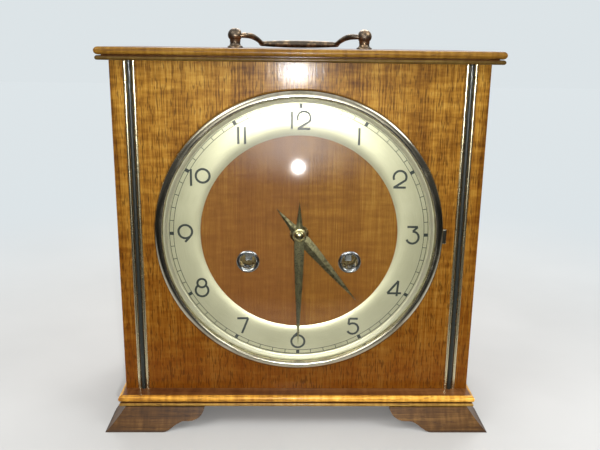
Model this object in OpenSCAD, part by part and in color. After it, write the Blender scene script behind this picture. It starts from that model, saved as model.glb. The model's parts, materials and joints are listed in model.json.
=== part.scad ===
// Square wooden mantel clock with a carrying handle, one dial, a hinged glazed
// bezel and a two-train striking movement with a pendulum.
// Millimetres. X is to the right, Y goes into the case, Z is up. The origin is on
// the surface the clock stands on, under the middle of its outline.
// The movement is laid out from the middle of the dial: u to the right, v up.

/* [Case] */
// Width of the front panel
panel_w = 230; // [225:1:240]
// Height of the front panel, between the base board and the top board
panel_h = 215; // [212:1:225]
// Depth of the case, from the face of the front panel to the back
case_d = 112; // [110:1:125]
// Thickness of the front panel
panel_t = 8; // [8:0.5:10]
// Thickness of the side panels
side_t = 10; // [8:0.5:12]
// Thickness of the top board
top_t = 7.7; // [7:0.1:10]
// Thickness of the base board
base_t = 7.6; // [7:0.1:10]
// How far the top board stands out past the panel at the front and the sides
top_over = 7; // [5:0.5:9]
// How far the base board stands out at the front
base_over = 12; // [9:0.5:14]
// How far the boards stand out behind the back
rear_over = 6; // [5:0.5:10]

/* [Feet] */
// Height of the bracket feet
foot_h = 13.9; // [12:0.1:18]
// How far the foot of the bracket stands out past the panel at the front
foot_reach = 20; // [17:0.5:24]
// How far it stands out past the panel at the sides
foot_side = 10.5; // [9:0.5:14]

/* [Dial] */
// Height of the middle of the dial above the base board
dial_up = 108.4; // [105:0.1:112]
// Outer radius of the bezel
bezel_r = 91; // [88:0.5:93]
// Outer radius of the chapter ring
chapter_r = 84; // [82:0.5:85]
// Inner radius of the chapter ring
chapter_in = 62.8; // [58:0.2:66]
// Distance between the two winding arbors
wind_w = 65.5; // [65:0.1:66]
// How far the winding arbors lie below the middle of the dial
wind_down = 18.75; // [18.5:0.05:19]

/* [Hands] */
// Length of the minute hand from its pivot
minute_l = 74; // [60:1:76]
// Length of the hour hand from its pivot
hour_l = 57; // [40:1:60]
// Clock angle of the hour hand at rest, clockwise from twelve
hour_at = 139.5; // [0:0.5:360]
// Clock angle of the minute hand at rest
minute_at = 180; // [0:1:360]

/* [Handle] */
// Distance between the two handle posts
post_w = 86.6; // [80:0.2:92]
// Height of a handle post above the top board
post_h = 12.8; // [11:0.2:16]
// How far the grip lies from the line through its pivots
bail_reach = 22; // [18:0.5:28]

/* [Hidden] */
$fn = 48;
foot_rise = foot_h + base_t;
z_top = foot_rise + panel_h;
z_dial = foot_rise + dial_up;
z_wind = z_dial - wind_down;
y_face = (foot_reach - case_d - rear_over) / 2;
y_in = y_face + panel_t;
y_back = y_face + case_d;
y_end = y_back + rear_over;
half_w = panel_w / 2;
in_w = half_w - side_t;
fit = 0.05;

// back frame and door
frame_t = 10;
stile_w = 20;
rail_h = 20;
door_t = 6;
door_gap = 0.5;
door_w = 2 * (in_w - stile_w) - 2 * door_gap;
door_h = panel_h - 2 * rail_h - 2 * door_gap;
door_z = foot_rise + rail_h + door_gap;
hinge_x = -(in_w - stile_w);
hinge_out = 2.1;
hinge_y = y_back + hinge_out;
door_pin_r = 0.8;
leaf_t = 0.8;
knuckle_r = 1.8;
knuckle_l = 8;
hinge_zs = [door_z + 25, door_z + door_h - 25 - 3 * knuckle_l];

// bezel: radii, and depths in front of the panel
rim_in = bezel_r - 5.6;
rim_side = 3.2;
rim_lip = 5.4;
rim_crest = 8.4;
glass_r = bezel_r - 4.4;
glass_edge = 4.6;
glass_rise = 11;
glass_t = 1.4;
bezel_axis_x = -(bezel_r - 1.5);
bezel_axis_y = y_face - 1.9;
bezel_knuckle_r = 1.3;
bezel_knuckle_l = 6;

// movement plates
plate_w = 124;
plate_lo = -46;
plate_hi = 70;
plate_t = 1.5;
fp = y_face + 22;
s0 = fp + plate_t;
gap = 40;
bp = s0 + gap;
bp_end = bp + plate_t;

// arbor places, from the middle of the dial
wind_x = wind_w / 2;
going_at = [wind_x, -wind_down];
strike_at = [-wind_x, -wind_down];
great_n = 72;
great_m = 0.7;
second_n = 60;
second_m = 0.6;
leaf_n = 10;
big_leaf_n = 12;
train_n = 60;
fast_n = 50;
train_m = 0.5;
slack = 0.1;
great_d = great_m * (great_n + big_leaf_n) / 2 + slack;
second_d = second_m * (second_n + leaf_n) / 2 + slack;
train_d = train_m * (train_n + leaf_n) / 2 + slack;
fast_d = train_m * (fast_n + leaf_n) / 2 + slack;

function polar(d, a) = [d * cos(a), d * sin(a)];
function dist(a, b) = norm(b - a);
function dir(a, b) = atan2(b[1] - a[1], b[0] - a[0]);
// the place that is d from a and e from b, on the side that side says
function two_d(a, d, b, e, side) =
    a + polar(d, dir(a, b) + side * acos((d * d + dist(a, b) ^ 2 - e * e) / (2 * d * dist(a, b))));

second_at = two_d([0, 0], second_d, going_at, great_d, -1);
third_at = polar(train_d, 62.8);
fourth_at = third_at + polar(train_d, 100);
escape_at = fourth_at + polar(fast_d, 109.3);
anchor_at = [escape_at[0], escape_at[1] + 15.5];
s_second_at = strike_at + polar(great_d, 100);
pin_at = s_second_at + polar(train_d, 45);
warn_at = pin_at + polar(train_d, 80);
fly_at = warn_at + polar(fast_d, 130);
hammer_at = [-44.5, 30];
screw_uvs = [[-56, -10], [56, -10], [-56, 50], [56, 50]];
screw_r = 1.5;
screw_in = 5;
pivot_r = 0.8;

// hands: how far their front faces lie in front of the panel
hour_front = 3.4;
minute_front = 5;
nut_y = y_face - minute_front - 0.1;

// motion works
cannon_n = 12;
minute_n = 36;
minute_leaf_n = 10;
hour_n = 40;
cannon_m = 0.5;
hour_m = 0.48;
motion_d = cannon_m * (cannon_n + minute_n) / 2 + slack;
motion_at = polar(motion_d, 210);

// pendulum and gongs
pend_y = bp_end + 7;
pend_l = 110;
rod_ys = [bp_end + 15, bp_end + 23];
gong_x = -40;
gong_r = 1.5;
hammer_l = 98;
head_r = 3.6;
rod_l = 118;

// ---------------------------------------------------------------- helpers

// a flat outline in X and Z, made solid from y0 back to y1
module along_y(y0, y1) {
    translate([0, y1, 0]) rotate([90, 0, 0]) linear_extrude(y1 - y0) children();
}

// a flat outline in Y and Z, made solid from x0 to x1
module along_x(x0, x1) {
    translate([x0, 0, 0]) rotate([90, 0, 90]) linear_extrude(x1 - x0) children();
}

// a round bar along Y
module bar(r, y0, y1) {
    translate([0, y1, 0]) rotate([90, 0, 0]) cylinder(r = r, h = y1 - y0);
}

// a place on the movement
module at(uv) {
    translate([uv[0], 0, z_dial + uv[1]]) children();
}

// a box from its low corner to its high corner
module block(lo, hi) {
    translate(lo) cube(hi - lo);
}

// mirrors that leave their children alone for +1
module flip_x(s) {
    if (s < 0) mirror([1, 0, 0]) children();
    else children();
}

module flip_y(s) {
    if (s < 0) mirror([0, 1, 0]) children();
    else children();
}

// a body turned about the Y axis, from an outline of radius and distance in front of y_face
module turned_y() {
    translate([0, y_face, z_dial]) rotate([90, 0, 0]) rotate_extrude($fn = 96) children();
}

// a ring turned about the Y axis
module ring(r_out, r_in, y0, y1) {
    difference() {
        bar(r_out, y0, y1);
        bar(r_in, y0 - 1, y1 + 1);
    }
}

// outline of a toothed wheel: straight-flanked teeth with room for the leaves between them
module teeth(n, m, share = 0.4) {
    pitch = n * m / 2;
    step = 360 / n;
    root = pitch - 1.25 * m;
    tip = pitch + 0.85 * m;
    half = step * share / 2;
    flank = [[root, -1.15], [pitch, -1], [pitch + 0.5 * m, -0.68], [tip, -0.28],
        [tip, 0.28], [pitch + 0.5 * m, 0.68], [pitch, 1], [root, 1.15]];
    polygon([for (i = [0:n - 1]) for (f = flank) polar(f[0], i * step + f[1] * half)]);
}

// outline of a pinion: leaves narrow at the root, so the wheel's teeth clear them
module leaves(n, m) {
    pitch = n * m / 2;
    step = 360 / n;
    root = pitch - 1.3 * m;
    tip = pitch + 0.6 * m;
    half = step * 0.36 / 2;
    narrow = 0.62 * pitch / root;
    flank = [[root, -narrow], [pitch, -1], [tip, -0.4], [tip, 0.4], [pitch, 1], [root, narrow]];
    polygon([for (i = [0:n - 1]) for (f = flank) polar(f[0], i * step + f[1] * half)]);
}

// how far a pinion is turned so that a gap meets a tooth of the wheel that drives it
function mesh_turn(wheel_at, wheel_n, pinion_at, pinion_n) =
    let (a = dir(wheel_at, pinion_at))
    a + 180 - (0.5 - a * wheel_n / 360) * 360 / pinion_n;

// a crossed-out wheel of n teeth with a hub, at depth s behind the front plate
module wheel(n, m, s, t, hub = 3) {
    pitch = n * m / 2;
    rim = pitch - 3.2 * m;
    along_y(s0 + s, s0 + s + t) {
        difference() {
            teeth(n, m);
            circle(r = rim);
        }
        intersection() {
            circle(r = rim + 0.2);
            for (a = [0, 90]) rotate(a) square([2 * rim + 1, 2.2], center = true);
        }
        circle(r = hub);
    }
}

// a pinion turned to mesh, at depth s
module pinion(n, m, s, l, turn) {
    along_y(s0 + s, s0 + s + l) rotate(turn) leaves(n, m);
}

// an arbor between the plates, with a pivot in each
module arbor(r) {
    bar(r, s0 + 0.6, bp - 0.6);
    bar(pivot_r, fp, bp_end);
}

// ---------------------------------------------------------------- case

// outline of a board's edge, with a large bead over a small one
module beaded(w, t) {
    big = t * 0.3;
    small = t - 2 * big - 0.4;
    r2 = small / 2;
    set_in = 0.4;
    translate([-w / 2 + big, t - 2 * big]) square([w - 2 * big, 2 * big]);
    for (side = [-1, 1]) {
        translate([side * (w / 2 - big), t - big]) circle(r = big);
        translate([side * (w / 2 - set_in - r2), r2]) circle(r = r2);
    }
    translate([-w / 2 + set_in + r2, 0]) square([w - 2 * (set_in + r2), small]);
    translate([-w / 2 + 1.5 * big, 0]) square([w - 3 * big, t]);
}

// a board with its beaded edge mitred round all four sides
module moulded_board(w, y0, y1, z, t) {
    mid = (y0 + y1) / 2;
    translate([0, mid, z]) intersection() {
        along_x(-w / 2 - 1, w / 2 + 1) beaded(y1 - y0, t);
        along_y(mid - y1 - 1, y1 - mid + 1) beaded(w, t);
    }
}

module top_board() {
    color("peru") difference() {
        moulded_board(panel_w + 2 * top_over, y_face - top_over, y_end, z_top, top_t);
        for (side = [-1, 1]) translate([side * post_w / 2, post_y, z_top - 1])
            cylinder(r = 2, h = top_t + 2);
    }
}

module base_board() {
    color("sienna") moulded_board(panel_w + 6, y_face - base_over, y_end, foot_h, base_t);
}

module front_panel() {
    color("saddlebrown") difference() {
        block([-half_w, y_face, foot_rise], [half_w, y_in, z_top]);
        at([0, 0]) bar(6, y_face - 1, y_in + 1);
        for (side = [-1, 1]) translate([side * wind_x, 0, z_wind]) bar(6.3, y_face - 1, y_in + 1);
        for (uv = screw_uvs) at(uv) bar(screw_r, y_in - screw_in, y_in + 1);
    }
}

module side_panel(side) {
    lo = side < 0 ? -half_w : in_w;
    block([lo, y_in, foot_rise], [lo + side_t, y_back, z_top]);
}

module side_panel_left() {
    color("saddlebrown") side_panel(-1);
}

module side_panel_right() {
    color("saddlebrown") side_panel(1);
}

module back_rails() {
    color("burlywood") for (z = [foot_rise, z_top - rail_h])
        block([-in_w, y_back - frame_t, z], [in_w, y_back, z + rail_h]);
}

module back_stiles() {
    color("burlywood") for (x = [-in_w, in_w - stile_w])
        block([x, y_back - frame_t, foot_rise + rail_h], [x + stile_w, y_back, z_top - rail_h]);
}

// outline of a bracket foot from its outer corner inwards: a flat pad, an ogee and a round
module bracket(l) {
    pad = l * 0.58;
    ogee = l * 0.22;
    step = foot_h * 0.42;
    round_x = l * 0.84;
    polygon(concat([[-30, 0]],
        [for (t = [0:0.125:1]) [pad + ogee * t, step * (1 - cos(180 * t)) / 2]],
        [for (a = [0:15:90]) [round_x + (l - round_x) * sin(a), step + (foot_h - step) * (1 - cos(a))]],
        [[-30, foot_h]]));
}

// outline of the outward sweep of a foot, slightly hollow, past a face that stands at x = 0
module sweep(out, top) {
    polygon(concat([[-120, 0]],
        [for (t = [0:0.125:1]) [out - (out - top) * t ^ 0.85, foot_h * t]],
        [[-120, foot_h]]));
}

bracket_t = 14;
// how far the top of a foot lies inside the panel's side
foot_in = 1.5;

// one foot: a front and a side bracket mitred together, both swept outwards to the ground
module foot(side, front) {
    corner_y = front ? y_face - foot_reach : y_end;
    toward = front ? 1 : -1;
    corner_x = half_w + foot_side;
    intersection() {
        translate([side * half_w, 0, 0]) flip_x(side)
            along_y(y_face - foot_reach - 1, y_end + 1) sweep(foot_side, -foot_in);
        if (front) translate([0, y_face, 0]) mirror([0, 1, 0])
            along_x(-corner_x - 1, corner_x + 1) sweep(foot_reach, base_over - 0.4);
        else block([-corner_x - 1, y_face, 0], [corner_x + 1, y_end, foot_h]);
        union() {
            translate([side * corner_x, 0, 0]) flip_x(-side)
                along_y(min(corner_y, corner_y + toward * (bracket_t + 6)),
                    max(corner_y, corner_y + toward * (bracket_t + 6))) bracket(64);
            translate([0, corner_y, 0]) flip_y(toward)
                along_x(min(side * corner_x, side * (corner_x - bracket_t)),
                    max(side * corner_x, side * (corner_x - bracket_t))) bracket(52);
        }
    }
}

module front_feet() {
    color("saddlebrown") for (side = [-1, 1]) foot(side, true);
}

module back_feet() {
    color("saddlebrown") for (side = [-1, 1]) foot(side, false);
}

// upright trims on the front panel: a brass bead, a black strip and a brass bead
strip_x = half_w - 8;
bead_w = 2.3;
black_w = 2.8;

module half_round(x, w, proud) {
    translate([x, y_face, foot_rise]) intersection() {
        translate([0, w / 2 - proud, 0]) cylinder(r = w / 2, h = panel_h);
        translate([-w, -w, 0]) cube([2 * w, w, panel_h]);
    }
}

module brass_beads() {
    color("gold") for (side = [-1, 1]) for (k = [0, 1])
        half_round(side * (strip_x - bead_w / 2 - k * (bead_w + black_w + 0.2)), bead_w, 1.1);
}

module black_strips() {
    color([0.08, 0.08, 0.08]) for (side = [-1, 1])
        half_round(side * (strip_x - bead_w - 0.1 - black_w / 2), black_w, 1.4);
}

// ---------------------------------------------------------------- back door

slot_n = 7;
slot_l = 60;

module back_door() {
    color("tan") difference() {
        block([hinge_x + door_gap, y_back - door_t, door_z],
            [hinge_x + door_gap + door_w, y_back, door_z + door_h]);
        for (i = [0:slot_n - 1]) translate([(i - (slot_n - 1) / 2) * 14, 0, door_z + door_h / 2])
            along_y(y_back - door_t - 1, y_back + 1) {
                square([4, slot_l - 4], center = true);
                for (e = [-1, 1]) translate([0, e * (slot_l / 2 - 2)]) circle(r = 2, $fn = 24);
            }
    }
}

// one knuckle round the door's hinge pin, k lengths up
module knuckle(z, k) {
    translate([hinge_x, hinge_y, z + k * knuckle_l + 0.15]) difference() {
        union() {
            cylinder(r = knuckle_r, h = knuckle_l - 0.3);
            translate([0, -knuckle_r, 0]) children();
        }
        translate([0, 0, -1]) cylinder(r = door_pin_r + fit, h = knuckle_l + 2);
    }
}

leaf_y = hinge_out - knuckle_r;
leaf_w = 11;

module door_fixed_leaves() {
    color("gold") for (z = hinge_zs) for (k = [0, 2])
        knuckle(z, k) translate([-leaf_w, -leaf_y, 0]) cube([leaf_w, leaf_t, knuckle_l - 0.3]);
}

module door_moving_leaves() {
    color("gold") for (z = hinge_zs)
        knuckle(z, 1) translate([0, -leaf_y, 0]) cube([leaf_w, leaf_t, knuckle_l - 0.3]);
}

module door_hinge_pins() {
    color("silver") for (z = hinge_zs)
        translate([hinge_x, hinge_y, z]) cylinder(r = door_pin_r, h = 3 * knuckle_l);
}

module door_knob() {
    color("gold") translate([-hinge_x - 12, y_back, door_z + door_h / 2]) rotate([-90, 0, 0])
        rotate_extrude() polygon(concat([[0, 0], [4, 0], [4, 0.8], [1.6, 1.4], [1.6, 2.2]],
            [for (a = [-60:15:90]) [3.4 * cos(a), 3.8 + 1.8 * sin(a)]]));
}

// ---------------------------------------------------------------- handle

post_y = y_face + 54;
pivot_up = 8;
pivot_z = z_top + top_t + pivot_up;
knob_r = 4.8;
bail_r = 1.6;
grip_r = 2.4;
grip_l = 48;
bail_drop = 13.5;
elbow = 5;

module handle_posts() {
    color("darkgoldenrod") for (side = [-1, 1]) translate([side * post_w / 2, post_y, z_top + top_t])
        difference() {
            union() {
                rotate_extrude() polygon(concat([[0, 0], [5.2, 0], [5.2, 0.8], [3.9, 1.5], [3.4, 2.4]],
                    [for (a = [-45:9:90]) [knob_r * cos(a), post_h - knob_r + knob_r * sin(a)]]));
                translate([0, 0, -top_t - 7]) cylinder(r = 1.9, h = top_t + 7.5);
                translate([0, 0, -top_t - 5]) cylinder(r = 4.4, h = 3.2, $fn = 6);
                translate([0, 0, -top_t - 1.8]) cylinder(r = 6, h = 1.8 - fit);
            }
            translate([-side * 1.4, 0, pivot_up]) rotate([0, -side * 90, 0])
                cylinder(r = bail_r + fit, h = 8);
        }
}

// one quarter bend of the bail's rod, in the plane of the bail
module bend(x, y, from) {
    translate([x, y, 0]) rotate(from) rotate_extrude(angle = 90)
        translate([elbow, 0]) circle(r = bail_r);
}

module handle_bail() {
    leg_x = post_w / 2 - knob_r - 0.8;
    grip_x = leg_x - elbow;
    color("darkgoldenrod") translate([0, post_y, pivot_z]) rotate([-bail_drop, 0, 0]) {
        for (side = [-1, 1]) flip_x(side) {
            translate([leg_x, 0, 0]) rotate([0, 90, 0]) cylinder(r = bail_r, h = knob_r - 1);
            bend(leg_x, elbow, 180);
            translate([leg_x - elbow, elbow, 0]) rotate([-90, 0, 0])
                cylinder(r = bail_r, h = bail_reach - 2 * elbow);
            bend(leg_x - 2 * elbow, bail_reach - elbow, 0);
        }
        translate([-grip_x + elbow, bail_reach, 0]) rotate([0, 90, 0])
            cylinder(r = bail_r, h = 2 * (grip_x - elbow));
        translate([-grip_l / 2, bail_reach, 0]) rotate([0, 90, 0]) cylinder(r = grip_r, h = grip_l);
    }
}

// ---------------------------------------------------------------- dial and bezel

module chapter_ring() {
    color("wheat") at([0, 0]) difference() {
        bar(chapter_r, y_face - 1, y_face);
        bar(chapter_in, y_face - 2, y_face + 1);
    }
}

module winding_eyelets() {
    color("silver") for (side = [-1, 1]) translate([side * wind_x, 0, z_wind]) difference() {
        union() {
            bar(7.4, y_face - 0.9, y_face);
            bar(6.25, y_face, y_in + 0.6);
        }
        bar(5.25, y_face - 2, y_in + 2);
    }
}

// the rim, with its thumb tab on the right and one knuckle of its hinge hidden on the left
module bezel_rim() {
    mid = rim_in + 1.5;
    color("darkgoldenrod") {
        difference() {
            turned_y() polygon(concat([[rim_in + 1.4, 3.2], [rim_in + 1.4, 5], [rim_in, rim_lip]],
                [for (a = [165:-15:90]) [mid + (mid - rim_in) * cos(a),
                    rim_lip + (rim_crest - rim_lip) * sin(a)]],
                [for (a = [78:-12:0]) [mid + (bezel_r - mid) * cos(a),
                    rim_side + (rim_crest - rim_side) * sin(a)]],
                [[bezel_r, 0.5], [bezel_r - 1, 0.5], [bezel_r - 1.4, 3.2]]));
            translate([-bezel_r - 1, y_face - 3.6, z_dial - 9.4]) cube([4.1, 4, 18.8]);
        }
        translate([bezel_r - 0.6, y_face - 5, z_dial - 4.8]) cube([2.9, 2.6, 9.6]);
        bezel_knuckle(1) translate([-0.9, -2.6, 0]) cube([1.8, 2.6, bezel_knuckle_l - 0.6]);
    }
}

// one knuckle of the bezel's hinge, k lengths up from the lowest, with what joins it
module bezel_knuckle(k) {
    translate([bezel_axis_x, bezel_axis_y, z_dial + (k - 1.5) * bezel_knuckle_l + 0.3]) difference() {
        union() {
            cylinder(r = bezel_knuckle_r, h = bezel_knuckle_l - 0.6);
            children();
        }
        translate([0, 0, -1]) cylinder(r = 0.6 + fit, h = bezel_knuckle_l + 1);
    }
}

module bezel_fixed_leaf() {
    color("gold") {
        for (k = [0, 2]) bezel_knuckle(k)
            translate([0, 1, 0]) cube([1.2, 0.9, bezel_knuckle_l - 0.6]);
        translate([bezel_axis_x + 0.9, y_face - 0.5, z_dial - 9 + 0.3]) cube([3.8, 0.5, 17.4]);
    }
}

module bezel_hinge_pin() {
    color("silver") translate([bezel_axis_x, bezel_axis_y, z_dial - 9]) cylinder(r = 0.6, h = 18);
}

// a shallow dome of glass, between two spheres of one centre
module bezel_glass() {
    big = (glass_r ^ 2 + glass_rise ^ 2) / (2 * glass_rise);
    a_max = asin(glass_r / big);
    steps = 10;
    base = glass_edge - big * cos(a_max);
    color([0.85, 0.95, 1, 0.3]) turned_y() polygon(concat(
        [for (i = [0:steps]) [big * sin(a_max * i / steps), base + big * cos(a_max * i / steps)]],
        [for (i = [steps:-1:0]) [(big - glass_t) * sin(a_max * i / steps),
            base + (big - glass_t) * cos(a_max * i / steps)]]));
}

// the bright cone behind the glass
sight_out = bezel_r - 4.8;
sight_in = bezel_r - 8.2;

module bezel_sight_ring() {
    color("khaki") turned_y() polygon([[sight_out, 3.1], [sight_out, 2.4], [sight_in + 0.7, 1.5],
        [sight_in, 1.5], [sight_in, 2.0], [sight_out - 1, 3.1]]);
}

// ---------------------------------------------------------------- hands

// a pointed hand with a ridge down its middle and a short tail, pointing up
module dart(l, w, tail) {
    polygon([[0, l], [w * 0.36, l * 0.45], [w / 2, 5], [w * 0.3, 0], [0, -tail],
        [-w * 0.3, 0], [-w / 2, 5], [-w * 0.36, l * 0.45]]);
}

module hand(angle, l, w, tail, boss, bore, front) {
    y0 = y_face - front;
    at([0, 0]) rotate([0, angle, 0]) difference() {
        union() {
            along_y(y0, y0 + 0.6) dart(l, w, tail);
            bar(boss, y0 - 0.1, y0 + 0.7);
        }
        bar(bore, y0 - 2, y0 + 2);
    }
}

module hour_hand() {
    color("olive") {
        hand(hour_at, hour_l, 7.6, 22, 4.6, 3.4, hour_front);
        at([0, 0]) difference() {
            bar(4.2, y_face - hour_front + 0.6, y_face - 1.2);
            bar(3.4, y_face - 5, y_face);
        }
    }
}

module minute_hand() {
    color("goldenrod") hand(minute_at, minute_l, 6.4, 21, 4.5, 2.5, minute_front);
}

module hand_nut() {
    color("gold") at([0, 0]) translate([0, nut_y, 0]) rotate([90, 0, 0]) difference() {
        rotate_extrude() polygon(concat([[0, 0], [3.5, 0], [3.5, 1.2]],
            [for (a = [0:15:90]) [3.3 * cos(a), 1.2 + 1.6 * sin(a)]]));
        translate([0, 0, -1]) cylinder(r = 1.5 + fit, h = 2.2);
    }
}

// ---------------------------------------------------------------- motion works

// the minute hand's tube and its pinion, which slips on the centre arbor
module cannon_pinion() {
    color("gold") at([0, 0]) difference() {
        union() {
            bar(2.5, nut_y, fp - 1);
            along_y(fp - 5, fp - 2) leaves(cannon_n, cannon_m);
        }
        bar(1.5 + fit, y_face - 8, fp + 1);
    }
}

module minute_wheel() {
    color("gold") at(motion_at) difference() {
        union() {
            along_y(fp - 4, fp - 2.8) rotate(mesh_turn([0, 0], cannon_n, motion_at, minute_n))
                difference() {
                    teeth(minute_n, cannon_m);
                    for (a = [45:90:315]) translate(polar(5, a)) circle(r = 1.9, $fn = 24);
                }
            along_y(fp - 8.4, fp - 4) leaves(minute_leaf_n, hour_m);
            bar(2, fp - 2.8, fp - 0.6);
        }
        bar(1 + fit, fp - 10, fp + 1);
    }
}

module hour_wheel() {
    color("gold") at([0, 0]) difference() {
        union() {
            bar(3.4, y_face - hour_front - 0.1, fp - 6);
            along_y(fp - 7.4, fp - 6)
                rotate(mesh_turn(motion_at, minute_leaf_n, [0, 0], hour_n)) teeth(hour_n, hour_m);
        }
        bar(2.5 + fit, y_face - 8, fp);
    }
}

// ---------------------------------------------------------------- movement

pillar_uvs = [[-55, -41], [55, -41], [-55, 64], [55, 64]];
pivot_uvs = [second_at, third_at, fourth_at, escape_at, anchor_at, s_second_at, pin_at,
    warn_at, fly_at];

// the outline that both plates share, with the holes of the pivots
module plate(y0) {
    difference() {
        translate([0, 0, z_dial]) along_y(y0, y0 + plate_t) difference() {
            translate([-plate_w / 2, plate_lo]) square([plate_w, plate_hi - plate_lo]);
            for (uv = pivot_uvs) translate(uv) circle(r = pivot_r + fit);
            circle(r = 1.5 + fit);
            for (uv = [going_at, strike_at]) translate(uv) circle(r = 3 + fit);
            translate(hammer_at) circle(r = 1 + fit);
            for (uv = pillar_uvs) translate(uv) circle(r = 1.6);
            for (side = [-1, 1]) translate([side * 62, 23]) circle(r = 14);
        }
        children();
    }
}

// the front plate, with the studs that carry the minute wheel and the two clicks
module front_plate() {
    color("gold") {
        plate(fp) for (uv = screw_uvs) at(uv) bar(screw_r, fp - 1, s0 + 1);
        at(motion_at) bar(1, fp - 9, fp);
        for (uv = [click_at(going_at), click_at(strike_at)]) at(uv) bar(1.2, fp - 4.6, fp);
    }
}

// the back plate, with the cock that the pendulum hangs from
module back_plate() {
    color("gold") {
        plate(bp) at(hammer_at) bar(2 + fit, bp - 1, bp_end + 1);
        at([0, 0]) translate([-4, bp_end, anchor_at[1] + 3.4]) cube([8, 9, 3]);
        at([0, 0]) translate([-4, bp_end, anchor_at[1] + 1.6]) cube([8, 1.4, 6]);
    }
}

// the distance pieces between the plates, with a nut outside each plate
module plate_pillars() {
    color("silver") for (uv = pillar_uvs) at(uv) {
        bar(3.4, s0, bp);
        bar(1.6, fp - 3, bp_end + 3);
        along_y(fp - 2.4, fp) circle(r = 3.6, $fn = 6);
        along_y(bp_end, bp_end + 2.4) circle(r = 3.6, $fn = 6);
    }
}

// the screws that hold the movement to the panel, each through its spacer tube
module mounting_screws() {
    color("silver") for (uv = screw_uvs) at(uv) {
        bar(3.2, y_in, fp);
        bar(screw_r, y_in - screw_in, s0);
        bar(3, s0, s0 + 2);
    }
}

drum_r = 21.2;
drum_lo = 8;
drum_hi = 30;
great_t = 2.4;

// the drum, its cover and its toothed great wheel
module barrel(uv) {
    at(uv) difference() {
        union() {
            bar(drum_r, s0 + drum_lo, s0 + drum_hi);
            along_y(s0 + drum_hi, s0 + drum_hi + great_t) teeth(great_n, great_m);
        }
        bar(drum_r - 1, s0 + drum_lo + 1, s0 + drum_hi - 0.6);
        bar(3 + fit, s0 + drum_lo - 1, s0 + drum_hi + great_t + 1);
    }
}

module mainspring(uv) {
    at(uv) ring(drum_r - 1.4, 9, s0 + drum_lo + 1.5, s0 + drum_hi - 1.1);
}

// the winding arbor: a square for the key, and a hub that holds the spring
module barrel_arbor(uv) {
    at(uv) {
        bar(3, fp - 5.2, bp_end + 1);
        bar(8.4, s0 + drum_lo + 1.5, s0 + drum_hi - 1.1);
        along_y(y_in + 1.6, fp - 5.2) square(4.2, center = true);
    }
}

ratchet_n = 20;
ratchet_r = 9;

module ratchet(uv) {
    at(uv) difference() {
        along_y(fp - 4.6, fp - 2) polygon([for (i = [0:ratchet_n - 1]) each [
            polar(ratchet_r, i * 360 / ratchet_n),
            polar(ratchet_r - 1.5, (i + 0.15) * 360 / ratchet_n)]]);
        bar(3, fp - 6, fp);
    }
}

click_r = 15;
function click_at(uv) = uv + polar(click_r, uv[0] > 0 ? 60 : 120);

// the click: an arm from its stud to just clear of the ratchet's points
module click(uv) {
    side = uv[0] > 0 ? 1 : -1;
    at(click_at(uv)) difference() {
        along_y(fp - 4.4, fp - 2.2) flip_x(side) {
            circle(r = 2.6);
            polygon([[-1.6, 1.8], [-12.4, -1.8], [-10.9, -4.2], [0.4, -2.4]]);
            polygon([[-1, 2], [2, 1], [5.6, 6], [4.4, 6.8]]);
        }
        bar(1.2 + fit, fp - 6, fp);
    }
}

module going_barrel() {
    color("gold") barrel(going_at);
}

module strike_barrel() {
    color("gold") barrel(strike_at);
}

module going_mainspring() {
    color("steelblue") mainspring(going_at);
}

module strike_mainspring() {
    color("steelblue") mainspring(strike_at);
}

module going_arbor() {
    color("silver") barrel_arbor(going_at);
}

module strike_arbor() {
    color("silver") barrel_arbor(strike_at);
}

module going_ratchet() {
    color("gold") ratchet(going_at);
}

module strike_ratchet() {
    color("gold") flip_x(-1) ratchet(going_at);
}

module going_click() {
    color("silver") click(going_at);
}

module strike_click() {
    color("silver") click(strike_at);
}

// depths of the wheels behind the front plate
second_s = 3;
centre_s = 12;
third_s = 20;
fourth_s = 28;
escape_s = 35;

module second_wheel() {
    color("gold") at(second_at) {
        wheel(second_n, second_m, second_s, 1.4);
        pinion(big_leaf_n, great_m, 28.6, 5.4, mesh_turn(going_at, great_n, second_at, big_leaf_n));
        arbor(1.6);
    }
}

// the centre wheel turns once an hour, and its arbor carries the minute hand's tube
module centre_wheel() {
    color("gold") at([0, 0]) {
        wheel(train_n, train_m, centre_s, 1.2);
        pinion(leaf_n, second_m, second_s - 1.4, 4.4, mesh_turn(second_at, second_n, [0, 0], leaf_n));
        bar(1.5, nut_y - 0.9, bp_end);
    }
}

module third_wheel() {
    color("gold") at(third_at) {
        wheel(train_n, train_m, third_s, 1.2);
        pinion(leaf_n, train_m, centre_s - 2, 5, mesh_turn([0, 0], train_n, third_at, leaf_n));
        arbor(1);
    }
}

module fourth_wheel() {
    color("gold") at(fourth_at) {
        wheel(fast_n, train_m, fourth_s, 1.2, 2.4);
        pinion(leaf_n, train_m, third_s - 2, 5, mesh_turn(third_at, train_n, fourth_at, leaf_n));
        arbor(1);
    }
}

escape_n = 30;
escape_r = 12;

module escape_wheel() {
    color("gold") at(escape_at) {
        along_y(s0 + escape_s, s0 + escape_s + 1) difference() {
            polygon([for (i = [0:escape_n - 1]) for (p = [[escape_r, 0.3], [escape_r - 2, 0.35],
                [escape_r - 2, 0.95]]) polar(p[0], (i + p[1]) * 360 / escape_n)]);
            for (a = [0:72:288]) rotate(a) translate([5.6, 0]) circle(r = 2.3, $fn = 24);
        }
        pinion(leaf_n, train_m, fourth_s - 2, 5, mesh_turn(fourth_at, fast_n, escape_at, leaf_n));
        arbor(1);
    }
}

pallet_r = escape_r + 1.1;

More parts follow.
